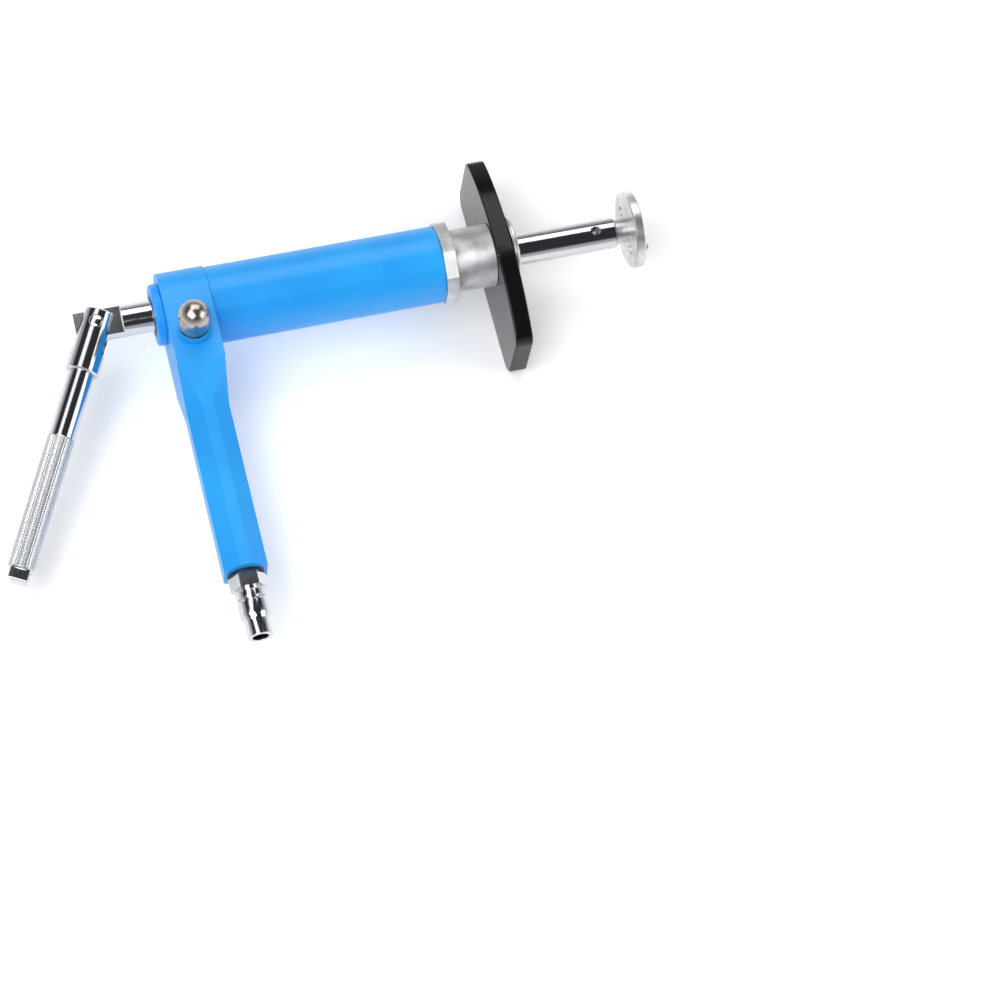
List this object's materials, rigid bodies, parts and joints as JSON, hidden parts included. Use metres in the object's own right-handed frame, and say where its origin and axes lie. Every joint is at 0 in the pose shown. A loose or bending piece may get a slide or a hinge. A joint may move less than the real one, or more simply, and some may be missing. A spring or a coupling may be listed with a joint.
{
  "type": "pneumatic caliper piston wind-back tool",
  "caption": "Air-powered wind-back tool for brake caliper pistons: pistol grip, air cylinder, reaction plate, turning spindle with swing handle, and a pinned adapter disc.",
  "frame": {"origin": "centre of the adapter disc's front face, where the tool meets the caliper piston", "axes": "+X along the spindle towards the adapter disc, +Z towards the push button's side, and the grip points to -Y"},
  "size_m": [0.3513, 0.23, 0.079],
  "materials": {
    "blue_paint": "smooth gloss enamel over a casting",
    "black_paint": "gloss black over plate",
    "chrome_plate": "bright polished plating",
    "knurled_chrome": "satin plating over a fine diamond knurl",
    "turned_aluminium": "satin, fine turning marks",
    "zinc_steel": "bright zinc plate",
    "spring_steel": "bright drawn wire",
    "bronze": "sintered bearing bronze",
    "brass": "machined",
    "nitrile_rubber": "moulded"
  },
  "bodies": {
    "housing": {"head_and_grip": "blue_paint", "barrel_tube": "blue_paint", "rear_gland_cap": "blue_paint", "barrel_rear_oring": "nitrile_rubber", "barrel_front_oring": "nitrile_rubber", "rear_gland_oring": "nitrile_rubber", "rear_bush": "bronze", "rear_wiper": "nitrile_rubber", "rear_rod_seal": "nitrile_rubber", "front_cap": "turned_aluminium", "front_bush": "bronze", "front_rod_seal": "nitrile_rubber", "front_wiper": "nitrile_rubber", "plate_washer": "zinc_steel", "plate_ring_nut": "zinc_steel", "air_nipple": "chrome_plate", "nipple_seal_washer": "nitrile_rubber", "inlet_filter": "bronze", "valve_bush": "brass", "valve_bush_orings": "nitrile_rubber", "valve_spring": "spring_steel"},
    "reaction_plate": {"reaction_plate": "black_paint"},
    "piston": {"piston": "turned_aluminium", "piston_seals": "nitrile_rubber", "piston_rod_oring": "nitrile_rubber"},
    "spindle": {"spindle_rod": "chrome_plate", "circlips": "spring_steel", "thrust_washers": "bronze"},
    "handle": {"handle_yoke": "chrome_plate", "handle_bar": "knurled_chrome", "handle_pivot_pin": "chrome_plate", "pivot_spring_washers": "spring_steel"},
    "adapter": {"adapter_disc": "zinc_steel", "drive_pins": "zinc_steel", "detent_ball": "spring_steel", "detent_spring": "spring_steel"},
    "button": {"button_cap": "chrome_plate", "valve_stem": "zinc_steel", "valve_seat_seal": "nitrile_rubber"}
  },
  "joints": [
    {"name": "air_stroke", "type": "slide", "parent": "housing", "child": "piston", "axis": [1, 0, 0], "range_m": [-0.045, 0.01]},
    {"name": "spindle_turn", "type": "hinge", "parent": "piston", "child": "spindle", "pos_m": [-0.147, 0, 0], "axis": [1, 0, 0], "continuous": true},
    {"name": "handle_swing", "type": "hinge", "parent": "spindle", "child": "handle", "pos_m": [-0.28, 0, 0], "axis": [0, -0.1132, 0.9936], "range_deg": [-151, 29]},
    {"name": "adapter_pull", "type": "slide", "parent": "spindle", "child": "adapter", "axis": [1, 0, 0], "range_m": [0, 0.02], "deforming": ["detent_ball", "detent_spring"]},
    {"name": "plate_swivel", "type": "hinge", "parent": "housing", "child": "reaction_plate", "pos_m": [-0.0735, 0, 0], "axis": [1, 0, 0], "continuous": true},
    {"name": "button_press", "type": "slide", "parent": "housing", "child": "button", "axis": [0, 0, -1], "range_m": [0, 0.003], "stiffness_N_per_m": 1500, "springref_m": -0.003, "deforming": ["valve_spring"]}
  ]
}
